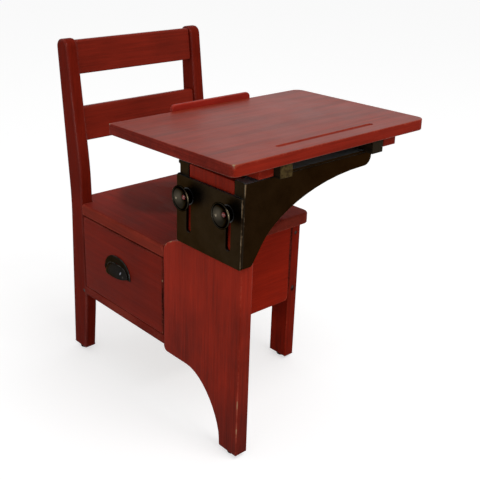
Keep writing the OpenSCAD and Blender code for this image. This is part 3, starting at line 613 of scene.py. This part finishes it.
# Frame screws and floor glides.
# Countersunk screws whose heads were painted over and have gone dark, and domed steel nail
# glides under the feet. The glides are turned shapes, worked out from a profile; the screws stay as
# modelled.
def turned(profile, place, axis, around=40, closed=False):
    """A profile of [radius, height, distance from an edge] in millimetres, turned about an axis.
    A point is place + height * axis + radius * (cos t * u + sin t * w), with u and w across the axis."""
    profile = np.array(profile, float)
    axis = np.array(axis, float)
    u = np.roll(axis, 1)
    w = np.cross(axis, u)
    t = np.linspace(0.0, 2.0 * np.pi, around, endpoint=False)
    ring = np.cos(t)[:, None] * u + np.sin(t)[:, None] * w
    radius, height = profile[:, 0, None, None] / 1000.0, profile[:, 1, None, None] / 1000.0
    points = np.array(place) + height * axis + radius * ring
    return points, np.repeat(profile[:, 2:3], around, axis=1), closed, True, False


def surface_piece(name, sheets, finish, body, slot, *nodes):
    """One mesh from sheets. A sheet is (points[rows, columns], edge_mm[rows, columns], rows closed,
    columns closed, ends capped); each square of four neighbouring points becomes a face."""
    points, edges, faces = [], [], []
    start = 0
    for place, edge, rows_closed, columns_closed, capped in sheets:
        rows, columns = place.shape[:2]
        index = start + np.arange(rows * columns).reshape(rows, columns)
        below, beside = np.roll(index, -1, axis=0), np.roll(index, -1, axis=1)
        squares = np.stack((index, below, np.roll(below, -1, axis=1), beside), axis=-1)
        squares = squares[: rows - (not rows_closed), : columns - (not columns_closed)]
        faces += squares.reshape(-1, 4).tolist()
        if capped:
            faces += [index[0].tolist(), index[-1].tolist()]
        points.append(place.reshape(-1, 3))
        edges.append(edge.reshape(-1))
        start += rows * columns
    mesh = bpy.data.meshes.new(name)
    mesh.from_pydata(np.concatenate(points).tolist(), [], faces)
    keep(mesh, "edge_mm", np.concatenate(edges))
    work = bmesh.new()
    work.from_mesh(mesh)
    bmesh.ops.remove_doubles(work, verts=work.verts, dist=WELD)
    bmesh.ops.dissolve_degenerate(work, edges=work.edges, dist=WELD)
    bmesh.ops.recalc_face_normals(work, faces=work.faces)
    smooth(work, mesh)
    return fit(name, mesh, finish, body, slot, *nodes)


def worn_metal(
    name, seed, colour, rubbed, roughness, tint=ROUND, dust_and_sheen=None, dust_and_sheen_z=0.0,
    pebble=520.0, relief=0.00012, spots=(), reach=1.1,
):
    """Cast or pressed metal under a lacquer: a pebbled skin, clouds in its tone and gloss, the lacquer
    rubbed bright within reach millimetres of an edge and at the spots, which callers use for wear and
    for painted highlights, and a film of dust with a painted sky sheen on what faces up, thickest above
    the given height."""
    finish = Finish(name)
    place = finish.place(shift=(seed * 1.1, seed * 2.7, seed * 0.4))
    skin = finish.noise(place, pebble, 3.0, 0.55)
    cloud = finish.noise(place, 26.0, 4.0, 0.6)
    grit = finish.noise(place, 170.0, 3.0, 0.6)
    edge = finish.attribute("edge_mm")
    base = finish.mix(1.0, colour, (cloud - 0.5) * 1.5 + (skin - 0.5) * 0.8 + 1.0, "MULTIPLY")
    wear = (cloud - 0.5) * 2.2 + (grit - 0.5) * 2.6 - finish.patches(spots)
    rub = (edge + wear).step(reach, reach - 1.4)
    base = finish.mix(rub, base, rubbed)
    metallic = 1.0
    if dust_and_sheen:
        # Dust with a painted sky sheen on what faces up, strongest above the given height.
        film = finish.attribute("normal_z").step(0.55, 0.95) * (cloud * 0.6 + 0.6)
        film = film * (finish.along("z").step(dust_and_sheen_z - 0.004, dust_and_sheen_z) * 0.65 + 0.35)
        base = finish.mix(film, base, dust_and_sheen)
        metallic = 1.0 - film
    finish.set(
        base_color=base,
        metallic=metallic,
        roughness=(cloud - 0.5) * 0.25 + (grit - 0.5) * 0.2 - rub * 0.08 + roughness,
        normal=finish.bump(skin * 0.7 + grit * 0.5, relief),
        specular_tint=tint,
    )
    return finish


def leave_as_modelled(finish, *nodes):
    """Shows CAD pieces just as they are, in a finish."""
    for node in nodes:
        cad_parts[node].data.materials.clear()
        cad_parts[node].data.materials.append(finish.material)


black_metal = worn_metal(
    "black_metal", 1.0, (0.0085, 0.0080, 0.0070), (0.050, 0.046, 0.040), 0.42, (0.35, 0.32, 0.28),
    reach=0.5,
)
UP = (0.0, 0.0, 1.0)
GLIDE_R = 11.0
HALF_STOCK = 0.014
feet_low, feet_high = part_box("floor_glides")
leg_low, leg_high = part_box("front_leg_left")
right_x, left_x = feet_low.x + GLIDE_R / 1000.0, leg_low.x + HALF_STOCK
post_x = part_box("rear_post_left")[0].x + HALF_STOCK
front_y, back_y = feet_low.y + GLIDE_R / 1000.0, feet_high.y - GLIDE_R / 1000.0
leg_y = (leg_low.y + leg_high.y) / 2
glide_profile = [
    [0.0, 0.0, 9.0], [5.4, 0.1, 5.0], [8.2, 0.7, 2.0], [10.0, 2.0, 0.6], [10.8, 3.9, 0.4],
    [GLIDE_R, 5.6, 0.2], [GLIDE_R, 6.5, 0.0], [1.5, 6.5, 9.0], [1.5, 20.0, 9.0], [0.0, 20.5, 9.0],
]
glides = [
    turned(glide_profile, (x, y, 0.0), UP)
    for x, y in ((right_x, front_y), (left_x, leg_y), (right_x, back_y), (post_x, back_y))
]
surface_piece("foot_glides", glides, black_metal, "chair", "blackened_metal", "floor_glides")
painted_over = worn_metal("painted_over_screws", 2.0, (0.020, 0.006, 0.005), (0.05, 0.02, 0.015), 0.5)
leave_as_modelled(painted_over, "frame_screws")


# Drawer.
# A pine front painted with the chair, planed sides let into it, a back, and a thin bottom in
# grooves. It slides out on the sitter's right; its rim is chipped where it meets the panel.
DRAWER_EASE = 0.0020
PLANED_EASE = 0.0009
BOTTOM_EASE = 0.0004
RIM_Y = -0.0518
drawer_spots = [
    ((OUTER_X, RIM_Y, 0.350), 0.0030, 3.8, ROUND),
    ((OUTER_X, RIM_Y, 0.304), 0.0030, 3.8, (1.0, 1.0, 0.5)),
    ((OUTER_X, RIM_Y, 0.185), 0.0042, 3.2, ROUND),
]
# Painted shade: dark lines along the gap between the drawer front and the panel, and along the gap under
# the seat.
drawer_painted_shade = [
    ((DRAWER_LOW.x, DRAWER_LOW.y, DRAWER_MIDDLE.z), 0.0055, 0.95, (1.0, 1.0, 0.03)),
    ((DRAWER_LOW.x, DRAWER_MIDDLE.y, DRAWER_HIGH.z), 0.0050, 0.80, (1.0, 0.02, 1.0)),
]
drawer_paint = barn_paint(
    "drawer_paint", "y", 7.0, tone=0.635, sheen=0.03, spots=drawer_spots, shade_and_grime=drawer_painted_shade
)
eased_board("drawer_front", "drawer", "barn_red_paint", drawer_paint, DRAWER_EASE)
drawer_wood = bare_wood("drawer_wood", "x", 2.0)
back_wood = bare_wood("drawer_back_wood", "y", 3.0)
bottom_wood = bare_wood("drawer_bottom_wood", "y", 4.0, (0.52, 0.34, 0.17), (0.38, 0.22, 0.10))
for node, wood, ease in (
    ("drawer_side_front", drawer_wood, PLANED_EASE),
    ("drawer_side_rear", drawer_wood, PLANED_EASE),
    ("drawer_back", back_wood, PLANED_EASE),
    ("drawer_bottom", bottom_wood, BOTTOM_EASE),
):
    eased_board(node, "drawer", "drawer_wood", wood, ease)


# Cup pull.
# Pressed steel, blackened: a fluted cup, open underneath, on an arched flange with a raised
# bead round the cup, held by two screws at its ends.
pull_low, pull_high = (np.array(corner) * 1000.0 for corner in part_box("drawer_pull"))
FACE_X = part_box("drawer_front")[0].x * 1000.0
AXIS_RISE = 1.0
PULL_PLACE = np.array([FACE_X, (pull_low[1] + pull_high[1]) / 2, pull_low[2] + AXIS_RISE])
CUP_R = 24.5
CUP_HALF = 38.0
CUP_BACK = 8.0
CUP_FOOT = 0.6
METAL = 1.9
LIP_DROP = 0.1
LIP_ROUND = 0.9
FLANGE_HALF = 48.0
FLANGE_HEIGHT = 41.0
FLANGE_THICK = 2.2
FLANGE_OPEN = 0.62
FLANGE_BAND = 5.0
BEAD_R = 1.0
BEAD_GAP = 0.4


def signed_power(value, power):
    """The size of the value raised to the power, with the value's sign."""
    return np.abs(value) ** power * np.sign(value)


def cup_skin(t, radius, half):
    """One side of the cup, at the turns t along it: x = back - r cos a, z = r sin a and
    y = half * s, where r = radius * c, with c and s the powers 2/3 of cos t and sin t. The angle a
    falls from where the skin meets the flange to the lip."""
    share = np.linspace(0.0, 1.0, 13)
    r = radius * signed_power(np.cos(t), 2 / 3)
    y = half * signed_power(np.sin(t), 2 / 3)
    low = np.arcsin(np.clip(-LIP_DROP / r, -1.0, 1.0))
    high = np.maximum(np.arccos(np.clip((CUP_BACK + CUP_FOOT) / r, 0.0, 1.0)), low)
    angle = high[:, None] + (low - high)[:, None] * share
    x = np.minimum(CUP_BACK - r[:, None] * np.cos(angle), -CUP_FOOT)
    z = r[:, None] * np.sin(angle)
    return np.stack((x, np.repeat(y[:, None], len(share), 1), z), axis=-1)


def cup_sheet():
    """The cup: its outer skin from the flange down to the lip, the lip's half round, and its inner
    skin, which is smaller by the metal's thickness, back up."""
    t = np.radians(np.linspace(-76.0, 76.0, 49))
    lip_turn = np.radians(np.linspace(20.0, 160.0, 5))
    outside = cup_skin(t, CUP_R, CUP_HALF)
    inside = cup_skin(t, CUP_R - METAL, CUP_HALF - METAL)[:, ::-1]
    first, last = outside[:, -1:], inside[:, :1]
    middle, arm = (first + last) / 2, (first - last) / 2
    down = np.array([0.0, 0.0, -LIP_ROUND])
    lip = middle + arm * np.cos(lip_turn)[None, :, None] + down * np.sin(lip_turn)[None, :, None]
    points = np.concatenate((outside, lip, inside), axis=1) + PULL_PLACE
    edge = np.concatenate((np.linspace(14.0, 1.2, 13), np.zeros(5), np.linspace(1.2, 14.0, 13)))
    return points / 1000.0, np.repeat(edge[None, :], len(t), axis=0), False, True, True


def flange_sheet():
    """The flange: a strip between an arch y = half * c, z = height * s and the same arch shrunk to
    its open share, with c and s the powers 0.9 of cos t and sin t. Its outer edge is a half round."""
    t = np.radians(np.linspace(0.0, 180.0, 61))
    y = FLANGE_HALF * signed_power(np.cos(t), 0.9)
    z = FLANGE_HEIGHT * signed_power(np.sin(t), 0.9)
    turn = np.radians(np.linspace(-90.0, 90.0, 7))
    half_thick = FLANGE_THICK / 2
    rounded = 1.0 - half_thick * (1.0 - np.cos(turn)) / FLANGE_HALF
    reach = np.concatenate((rounded, [1.0 - FLANGE_BAND / FLANGE_HALF, FLANGE_OPEN, FLANGE_OPEN]))
    x = np.concatenate((-half_thick - half_thick * np.sin(turn), [-FLANGE_THICK, -FLANGE_THICK, 0.0]))
    z = z[:, None] * reach - AXIS_RISE * (1.0 - np.sin(t))[:, None]
    points = np.stack((np.repeat(x[None, :], len(t), 0), y[:, None] * reach, z), axis=-1) + PULL_PLACE
    edge = np.array([0.6, 0.2, 0.0, 0.0, 0.0, 0.2, 0.6, 5.0, 9.0, 9.0])
    return points / 1000.0, np.repeat(edge[None, :], len(t), axis=0), False, True, True


def bead_sheet():
    """The bead: a round carried along the arch where the cup meets the flange. A point is
    path + radius * (cos a * out + sin a * side), with side across both the path and out."""
    t = np.radians(np.linspace(-75.0, 75.0, 61))
    r = (CUP_R + BEAD_GAP) * signed_power(np.cos(t), 2 / 3)
    y = (CUP_HALF + BEAD_GAP) * signed_power(np.sin(t), 2 / 3)
    z = np.sqrt(np.maximum(r ** 2 - (CUP_BACK + 2.0) ** 2, 0.0))
    path = np.stack((np.full_like(y, -FLANGE_THICK), y, z), axis=-1)
    tangent = np.gradient(path, axis=0)
    tangent /= np.linalg.norm(tangent, axis=1)[:, None]
    out = np.array([-1.0, 0.0, 0.0])
    side = np.cross(tangent, out)
    a = np.radians(np.arange(0.0, 360.0, 45.0))
    ring = np.cos(a)[None, :, None] * out + np.sin(a)[None, :, None] * side[:, None, :]
    points = path[:, None, :] + BEAD_R * ring + PULL_PLACE
    edge = np.repeat(np.where(np.cos(a) > 0.5, 0.0, 2.0)[None, :], len(t), axis=0)
    return points / 1000.0, edge, False, True, True


pull_metal = worn_metal(
    "pull_metal", 3.0, (0.0125, 0.0110, 0.0098), (0.075, 0.068, 0.062), 0.24, (0.50, 0.46, 0.42),
    pebble=700.0, relief=0.0002, reach=0.6,
)
# A painted highlight: a small bright patch on the near end of the cup.
painted_highlight = pull_metal.near((-0.2173, 0.0836, 0.2735), 0.0034, (1.0, 1.3, 0.42)).step(0.1, 0.8)
pull_metal.set(base_color=pull_metal.mix(painted_highlight, pull_metal.colour(), (0.20, 0.20, 0.23)))
pull_sheets = [cup_sheet(), flange_sheet(), bead_sheet()]
surface_piece("cup_pull", pull_sheets, pull_metal, "drawer", "blackened_metal", "drawer_pull")

OUTWARD = (-1.0, 0.0, 0.0)
PULL_SCREW_Y = 43.8
PULL_SCREW_Z = 6.0
screw_head = [
    [0.0, 1.6, 2.0], [1.4, 1.5, 1.5], [2.5, 1.1, 0.4], [3.1, 0.5, 0.0], [3.2, 0.0, 0.2],
    [1.7, 0.0, 9.0], [1.7, -16.5, 9.0], [0.0, -17.2, 9.0],
]
pull_heads = []
for side in (-1, 1):
    head_place = PULL_PLACE + np.array([-FLANGE_THICK, side * PULL_SCREW_Y, PULL_SCREW_Z])
    pull_heads.append(turned(screw_head, head_place / 1000.0, OUTWARD, 24))
surface_piece("pull_screw_heads", pull_heads, black_metal, "drawer", "blackened_metal", "pull_screws")


# Desk bracket.
# One iron casting under brown-black lacquer: the slotted pad, the ears beside the tongue, the
# two webs and the table. Hands have rubbed its corners to a dull bronze, with painted highlights
# along the front corners; dust lies on it, with a painted sky sheen on what faces up, and the faces
# turned to the front carry painted shade.
IRON = (0.0175, 0.0122, 0.0078)
FRONT_SHADED_IRON = (0.0120, 0.0064, 0.0030)
RUBBED_AND_HIGHLIT_IRON = (0.165, 0.130, 0.088)
IRON_TINT = (0.6, 0.48, 0.34)
DUST_AND_SHEEN = (0.135, 0.150, 0.165)
DUST_AND_SHEEN_Z = 0.560
CAST_EASE = 0.0012
WEB_CORNER = (-0.2115, -0.2935)
PAD_CORNER = (-0.2140, -0.2893)
# Rubbed bronze along the web's and the pad's front corners, drawn brightest where highlights run down
# them: wear with painted highlights.
bracket_wear_and_highlights = [
    ((*WEB_CORNER, 0.576), 0.0050, 3.2, UPRIGHT),
    ((*WEB_CORNER, 0.505), 0.0060, 1.0, UPRIGHT),
    ((*PAD_CORNER, 0.537), 0.0034, 1.7, UPRIGHT),
    ((*PAD_CORNER, 0.470), 0.0050, 1.3, UPRIGHT),
    ((*PAD_CORNER, 0.425), 0.0040, 1.0, UPRIGHT),
]
bracket_iron = worn_metal(
    "bracket_iron", 4.0, IRON, RUBBED_AND_HIGHLIT_IRON, 0.42, IRON_TINT, DUST_AND_SHEEN, DUST_AND_SHEEN_Z, spots=bracket_wear_and_highlights, reach=0.35
)
# Painted shade: the faces turned to the front are drawn darker and browner than the rest of the casting.
front = bracket_iron.attribute("normal_y").step(-0.3, -0.9)
front_shade_tint = bracket_iron.mix(front, (1.0, 1.0, 1.0), [f / i for f, i in zip(FRONT_SHADED_IRON, IRON)])
bracket_iron.set(base_color=bracket_iron.mix(1.0, bracket_iron.colour(), front_shade_tint, "MULTIPLY"))
eased_board("desk_bracket", "bracket", "bronzed_iron", bracket_iron, CAST_EASE, rims=True)


# Clamp bolts, washers and hand knobs.
# Two steel bolts pass through the panel and the pad's slots, their heads inside and their ends
# touched with the chair's red. Each dished iron knob screws the pad tight over a steel washer; its
# bowl carries painted light and shade, and its rim a painted highlight.
def bend(p, q, r, s, count=9):
    """A cubic curve from p to s, pulled towards q and r."""
    t = np.linspace(0.0, 1.0, count)[:, None]
    p, q, r, s = (np.array(point, float) for point in (p, q, r, s))
    return (1 - t) ** 3 * p + 3 * (1 - t) ** 2 * t * q + 3 * (1 - t) * t ** 2 * r + t ** 3 * s


knob_hubs = {}
for name in ("knob_front", "knob_rear"):
    low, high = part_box(name)
    knob_hubs[name] = Vector((high.x, (low.y + high.y) / 2, (low.z + high.z) / 2))
hubs = list(knob_hubs.values())
# Painted highlights: each rim is drawn rubbed to bronze on its upper front arc.
rim_highlights = [(hub + Vector((-0.016, -0.020, 0.009)), 0.016, 2.2, ROUND) for hub in hubs]
knob_iron = worn_metal(
    "knob_iron", 5.0, (0.0150, 0.0125, 0.0088), (0.115, 0.092, 0.056), 0.20, (0.25, 0.21, 0.15),
    pebble=900.0, relief=0.00005, spots=rim_highlights, reach=-0.4,
)
bowl_iron = knob_iron.colour()
# Painted light and shade in each bowl: a lighter patch on the side away from the front, and a dark patch
# round the bolt where the recess is shaded.
for hub in hubs:
    lit = knob_iron.near(hub + Vector((-0.010, 0.013, -0.002)), 0.017)
    painted_recess_shade = knob_iron.near(hub + Vector((-0.009, 0.0, 0.0)), 0.012)
    bowl_iron = knob_iron.mix(lit, bowl_iron, (0.062, 0.052, 0.037))
    bowl_iron = knob_iron.mix(painted_recess_shade, bowl_iron, (0.003, 0.0025, 0.002))
knob_iron.set(base_color=bowl_iron)

BORE_R = 5.08
RIM_MIDDLE = np.array([23.2, 16.2])
RIM_ROUND = 1.75
RUB_MIDDLE = np.array([23.6, 17.6])
RUB_R = 1.6
rim_turn = np.radians(np.linspace(-50.0, 195.0, 12))
knob_rim = RIM_MIDDLE + RIM_ROUND * np.stack((np.cos(rim_turn), np.sin(rim_turn)), axis=-1)
knob_outline = np.concatenate((
    [[BORE_R, 0.1], [13.6, 0.0], [14.6, 0.3], [15.0, 1.0]],
    bend([15.0, 2.6], [15.0, 6.5], [18.5, 8.5], knob_rim[0]),
    knob_rim[1:],
    bend(knob_rim[-1], [18.8, 12.2], [13.0, 9.0], [7.4, 8.9])[1:],
    [[6.6, 8.7], [BORE_R, 8.6]],
))
rim_gap = np.linalg.norm(knob_outline - RUB_MIDDLE, axis=1)
knob_profile = np.column_stack((knob_outline, np.maximum(rim_gap - RUB_R, 0.0)))
for name, body in (("knob_front", "front_knob"), ("knob_rear", "rear_knob")):
    knob = turned(knob_profile, knob_hubs[name], OUTWARD, 72, closed=True)
    surface_piece("hand_" + name, [knob], knob_iron, body, "bronzed_iron", name)

BOLT_SHORT = 4.6
hub_x = hubs[0].x
bolt_end = (hub_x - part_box("clamp_bolts")[0].x) * 1000.0 - BOLT_SHORT
bolt_root = (hub_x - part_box("side_panel")[1].x) * 1000.0
bolt_profile = [
    [0.0, bolt_end, 1.0], [2.0, bolt_end - 0.2, 0.8], [3.6, bolt_end - 0.8, 0.4],
    [4.6, bolt_end - 1.7, 0.1], [5.0, bolt_end - 2.9, 1.0], [5.0, bolt_root, 9.0],
    [11.5, bolt_root, 0.3], [11.2, bolt_root - 1.2, 0.4], [9.6, bolt_root - 2.9, 2.0],
    [6.8, bolt_root - 4.2, 4.0], [3.4, bolt_root - 4.9, 6.0], [0.0, bolt_root - 5.0, 8.0],
]
bolt_steel = worn_metal("bolt_steel", 6.0, (0.16, 0.15, 0.14), (0.34, 0.32, 0.29), 0.38)
tip = bolt_steel.along("x").step(-0.2215, -0.2225)
chips = bolt_steel.noise(bolt_steel.place(), 420.0, 2.0, 0.6).step(0.62, 0.50)
red_speck = tip * chips
bolt_steel.set(
    base_color=bolt_steel.mix(red_speck, bolt_steel.colour(), (0.24, 0.028, 0.026)),
    metallic=1.0 - red_speck,
    specular_ior_level=0.08,
)
bolts = [turned(bolt_profile, hub, OUTWARD) for hub in hubs]
surface_piece("through_bolts", bolts, bolt_steel, "chair", "screw_steel", "clamp_bolts")

washer_profile = [
    [5.1, 0.1, 9.0], [5.4, 0.0, 9.0], [15.9, 0.0, 0.4], [16.5, 0.5, 0.0],
    [16.5, 1.5, 0.0], [15.9, 2.0, 0.4], [5.4, 2.0, 9.0], [5.1, 1.9, 9.0],
]
washer_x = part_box("clamp_washers")[1].x
washers = [turned(washer_profile, (washer_x, hub.y, hub.z), OUTWARD, 56, closed=True) for hub in hubs]
washer_steel = worn_metal("washer_steel", 7.0, (0.026, 0.026, 0.027), (0.036, 0.036, 0.038), 0.40)
surface_piece("knob_washers", washers, washer_steel, "chair", "bronzed_iron", "clamp_washers")


# Desk top, ledge and battens.
# A wide board with a pencil groove, planed, painted and rubbed smooth by forearms and books, so
# that it shines more than the rest. The ledge at the sitter's edge and the battens are screwed on.
TOP_EASE = 0.0020
LEDGE_EASE = 0.0024
END_X = -0.2590
REAR_Y = 0.0445
top_spots = [
    ((-0.2555, -0.3120, 0.6265), 0.012, 3.0, ROUND),
    ((-0.2555, -0.3120, 0.6150), 0.006, 2.8, (1.0, 1.0, 0.5)),
    ((END_X, REAR_Y, 0.6080), 0.008, 3.6, (1.0, 1.0, 0.4)),
    ((0.2560, -0.3110, 0.6262), 0.012, 2.6, ROUND),
    ((END_X, REAR_Y, 0.6180), 0.006, 3.0, ROUND),
]


def top_paint():
    """The desk top's paint. Its upper face has a rubbed gloss, grey brush streaks along the board and
    dull scuffs; the edges are redder and matt, the end by the sitter's right is darker and brushed
    along its own length, and the underside is bare, aged wood."""
    finish = barn_paint("desktop_paint", "x", 8.0, sheen=0.03, roughness=0.50, spots=top_spots)
    streak = finish.noise(finish.place(along_grain("x", 42.0, 3.2)), 1.0, 3.0, 0.55, 0.2)
    scuff = finish.noise(finish.place(), 9.0, 4.0, 0.6)
    face = finish.attribute("normal_z").step(0.5, 0.95)
    end = finish.attribute("normal_x").step(-0.5, -0.9)
    under = finish.attribute("normal_z").step(-0.4, -0.9)
    end_brush = finish.noise(finish.place(along_grain("y", 420.0, 9.0)), 1.0, 3.0, 0.6, 0.3)
    red = finish.colour()
    top_red = finish.mix(1.0, red, (0.80, 1.05, 0.80), "MULTIPLY")
    top_red = finish.mix(streak.step(0.46, 0.72) * 0.32, top_red, (0.070, 0.028, 0.024))
    end_tone = finish.mix(end_brush.step(0.3, 0.7), (0.54, 0.72, 0.95), (0.80, 1.15, 1.60))
    edge_red = finish.mix(end, red, finish.mix(1.0, red, end_tone, "MULTIPLY"))
    edge_red = finish.mix(under, edge_red, (0.17, 0.135, 0.105))
    finish.set(
        base_color=finish.mix(face, edge_red, top_red),
        coat_weight=face * ((scuff - 0.5) * 0.40 + (0.5 - streak) * 0.2 + 0.36),
        coat_roughness=0.36,
    )
    return finish


eased_board("desktop_board", "top", "barn_red_paint", top_paint(), TOP_EASE)
ledge_paint = barn_paint("ledge_paint", "x", 9.0, sheen=0.16, red=(0.30, 0.016, 0.009))
eased_board("book_ledge", "top", "bright_red_paint", ledge_paint, LEDGE_EASE)
batten_paint = barn_paint("batten_paint", "y", 10.0, tone=1.10, sheen=0.02)
for node in ("batten_right", "batten_left"):
    eased_board(node, "top", "barn_red_paint", batten_paint, SAWN_EASE)


# Slide bars and their screws.
# Dark stained hardwood bars under the board, which ride on the casting's table. Shoulder screws
# in the table's slots hold them down and stop the slide.
bar_wood = bare_wood("bar_wood", "y", 5.0, (0.020, 0.012, 0.006), (0.009, 0.006, 0.003), 0.6)
bar_wood.set(specular_ior_level=0.03)
bar_end = bar_wood.attribute("normal_y").maths("ABSOLUTE").step(0.7, 0.9)
bar_side = bar_wood.colour()
end_ring = bar_wood.noise(bar_wood.place((120.0, 10.0, 160.0)), 1.0, 3.0, 0.6).step(0.35, 0.65)
end_tone = bar_wood.mix(end_ring, (0.036, 0.021, 0.007), (0.080, 0.052, 0.017))
bar_low, bar_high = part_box("slide_bar_left")
shaded_end = ((bar_low.x + bar_high.x) / 2, bar_low.y, (bar_low.z + bar_high.z) / 2)
shaded_end = bar_wood.near(shaded_end, 0.080).step(0.0, 0.3)
end_tone = bar_wood.mix(shaded_end, end_tone, (0.019, 0.012, 0.0055))
bar_wood.set(base_color=bar_wood.mix(bar_end, bar_side, end_tone))
for node in ("slide_bar_right", "slide_bar_left"):
    eased_board(node, "top", "dark_stained_wood", bar_wood, SAWN_EASE)

screw_steel = worn_metal("screw_steel", 8.0, (0.20, 0.19, 0.17), (0.35, 0.33, 0.30), 0.36)
leave_as_modelled(screw_steel, "ledge_screws", "strip_screws", "slide_screws")
